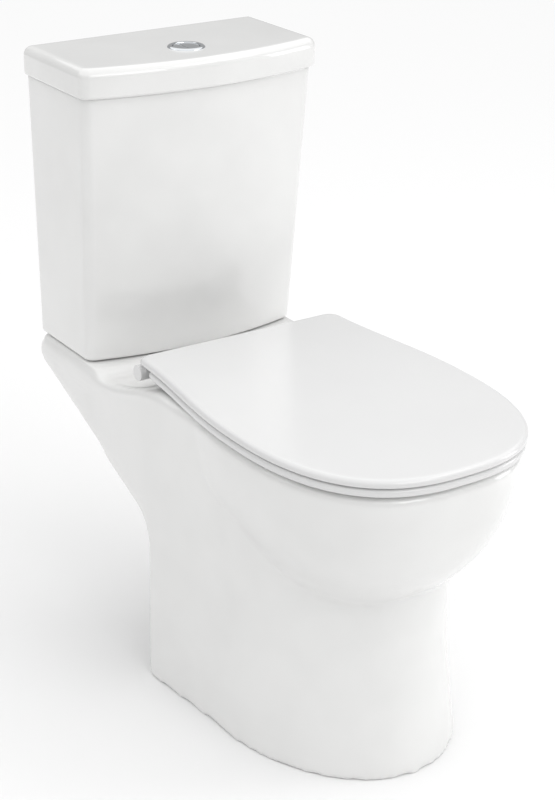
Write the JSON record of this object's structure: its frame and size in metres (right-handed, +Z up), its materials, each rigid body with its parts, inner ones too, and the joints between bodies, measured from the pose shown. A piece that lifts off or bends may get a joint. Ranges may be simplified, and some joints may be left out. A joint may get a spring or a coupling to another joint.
{
  "type": "close coupled toilet",
  "caption": "Floor-standing close coupled toilet: bowl pan with a rear ledge, tapered tank with lid and dual flush button, hinged seat ring and lid, bidet nozzle in the bowl.",
  "frame": {"origin": "on the floor, under the middle of the whole toilet", "axes": "+X to the right seen from the front, +Y from the front of the bowl to the wall, +Z up"},
  "size_m": [0.346, 0.7047, 0.7773],
  "materials": {
    "china": "gloss",
    "seat_plastic": "gloss",
    "chrome": "polished",
    "valve_plastic": "satin",
    "blue_plastic": "satin",
    "damper_plastic": "satin",
    "buffer_rubber": "matte",
    "black_rubber": "matte",
    "red_silicone": "matte",
    "steel": "zinc plated",
    "brass": "satin"
  },
  "bodies": {
    "toilet": {"pan": "china", "cistern_tank": "china", "hinge_caps": "seat_plastic", "hinge_posts": "chrome", "bidet_nozzle": "chrome", "flush_valve_base": "valve_plastic", "flush_valve_backnut": "valve_plastic", "flush_valve_head": "valve_plastic", "fill_valve_body": "valve_plastic", "fill_valve_backnut": "valve_plastic", "seat_wing_nuts": "valve_plastic", "flush_valve_tower": "blue_plastic", "tank_pads": "black_rubber", "flush_valve_washer": "black_rubber", "tank_outlet_gasket": "black_rubber", "coupling_washers": "black_rubber", "fill_valve_washer": "black_rubber", "seat_bolt_sleeves": "black_rubber", "nozzle_seal": "black_rubber", "nozzle_washer": "black_rubber", "coupling_bolts": "steel", "coupling_plates": "steel", "coupling_wing_nuts": "steel", "fill_valve_pin": "steel", "hinge_pins": "steel", "seat_bolts": "steel", "nozzle_backnut": "brass"},
    "tank_lid": {"cistern_lid": "china", "button_bezel": "chrome", "button_nut": "valve_plastic", "button_springs": "steel"},
    "full_button": {"full_flush_button": "chrome", "full_flush_rod": "valve_plastic"},
    "half_button": {"half_flush_button": "chrome", "half_flush_rod": "valve_plastic"},
    "flush_lift": {"overflow_tube": "valve_plastic", "flush_seal": "red_silicone", "half_flush_float": "valve_plastic"},
    "fill_float": {"fill_valve_float": "blue_plastic"},
    "fill_arm": {"fill_valve_arm": "valve_plastic"},
    "ring": {"seat_ring": "seat_plastic", "ring_buffers": "buffer_rubber", "ring_dampers": "damper_plastic"},
    "lid": {"seat_lid": "seat_plastic", "lid_buffers": "buffer_rubber", "lid_dampers": "damper_plastic"}
  },
  "joints": [
    {"name": "tank_lid_lift", "type": "slide", "parent": "toilet", "child": "tank_lid", "axis": [0, 0, 1], "range_m": [0, 0.12]},
    {"name": "full_flush_press", "type": "slide", "parent": "tank_lid", "child": "full_button", "axis": [0, 0, -1], "range_m": [0, 0.008], "stiffness_N_per_m": 500, "springref_m": -0.004, "deforming": ["button_springs"]},
    {"name": "half_flush_press", "type": "slide", "parent": "tank_lid", "child": "half_button", "axis": [0, 0, -1], "range_m": [0, 0.008], "stiffness_N_per_m": 500, "springref_m": -0.004},
    {"name": "flush_valve_lift", "type": "slide", "parent": "toilet", "child": "flush_lift", "axis": [0, 0, 1], "range_m": [0, 0.012]},
    {"name": "float_rise", "type": "slide", "parent": "toilet", "child": "fill_float", "axis": [0, 0, 1], "range_m": [0, 0.012]},
    {"name": "float_arm_turn", "type": "hinge", "parent": "toilet", "child": "fill_arm", "pos_m": [0.116, 0.2605, 0.6615], "axis": [0, 1, 0], "range_deg": [0, 20.7]},
    {"name": "ring_hinge", "type": "hinge", "parent": "toilet", "child": "ring", "pos_m": [0, 0.1015, 0.412], "axis": [-1, 0, 0], "range_deg": [0, 95]},
    {"name": "lid_hinge", "type": "hinge", "parent": "ring", "child": "lid", "pos_m": [0, 0.1015, 0.412], "axis": [1, 0, 0], "range_deg": [-95, 0]}
  ],
  "couplings": [
    {"joint": "flush_valve_lift", "follows": "full_flush_press", "ratio": 1.5},
    {"joint": "float_arm_turn", "follows": "float_rise", "rad_per_m": 30}
  ]
}
